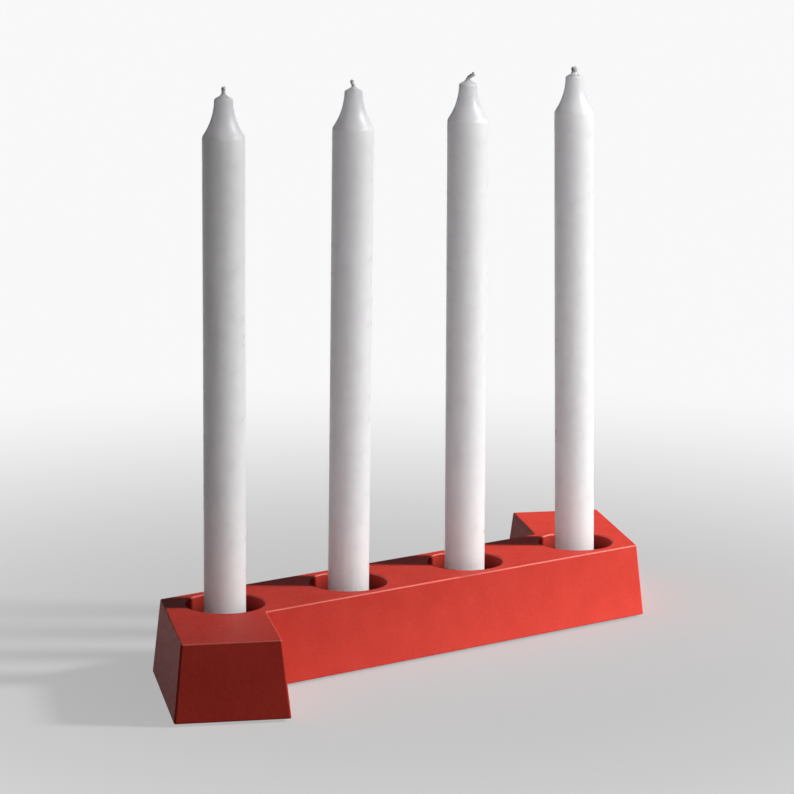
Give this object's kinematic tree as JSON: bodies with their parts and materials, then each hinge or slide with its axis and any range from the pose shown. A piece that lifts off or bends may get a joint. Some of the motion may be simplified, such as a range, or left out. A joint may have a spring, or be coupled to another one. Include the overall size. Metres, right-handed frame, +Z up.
{
  "type": "advent candle holder",
  "caption": "Z-shaped cast metal candle holder with drafted sides and a row of wide cups in its top, each holding a tall lift-out crown candle; stands on rubber foot pads.",
  "frame": {"origin": "on the table, under the middle of the bar and of the whole Z-shaped plan", "axes": "+X along the row of candles from the first to the fourth, +Y to the back, +Z up; the arm at the -X end folds to the front and the arm at the +X end to the back"},
  "size_m": [0.3706, 0.163, 0.3122],
  "materials": {
    "red_powder_coat": "fine-textured red powder coat, semi-matt, over sand-cast metal",
    "candle_wax": "white stearin, smooth with a soft gloss",
    "cotton_wick": "braided cotton, waxed",
    "black_rubber": "moulded, matt"
  },
  "bodies": {
    "holder": {"holder_casting": "red_powder_coat", "foot_pad_left_fold": "black_rubber", "foot_pad_left_outer": "black_rubber", "foot_pad_left_inner": "black_rubber", "foot_pad_right_fold": "black_rubber", "foot_pad_right_outer": "black_rubber", "foot_pad_right_inner": "black_rubber"},
    "first_candle": {"first_candle_wax": "candle_wax", "first_candle_wick": "cotton_wick"},
    "second_candle": {"second_candle_wax": "candle_wax", "second_candle_wick": "cotton_wick"},
    "third_candle": {"third_candle_wax": "candle_wax", "third_candle_wick": "cotton_wick"},
    "fourth_candle": {"fourth_candle_wax": "candle_wax", "fourth_candle_wick": "cotton_wick"}
  },
  "joints": [
    {"name": "first_candle_lift", "type": "slide", "parent": "holder", "child": "first_candle", "axis": [0.0014, -0.001, 1], "range_m": [0, 0.05]},
    {"name": "second_candle_lift", "type": "slide", "parent": "holder", "child": "second_candle", "axis": [0.0056, -0.0042, 1], "range_m": [0, 0.05]},
    {"name": "third_candle_lift", "type": "slide", "parent": "holder", "child": "third_candle", "axis": [-0.0028, 0.0021, 1], "range_m": [0, 0.05]},
    {"name": "fourth_candle_lift", "type": "slide", "parent": "holder", "child": "fourth_candle", "axis": [-0.014, 0.0104, 0.9998], "range_m": [0, 0.05]}
  ]
}
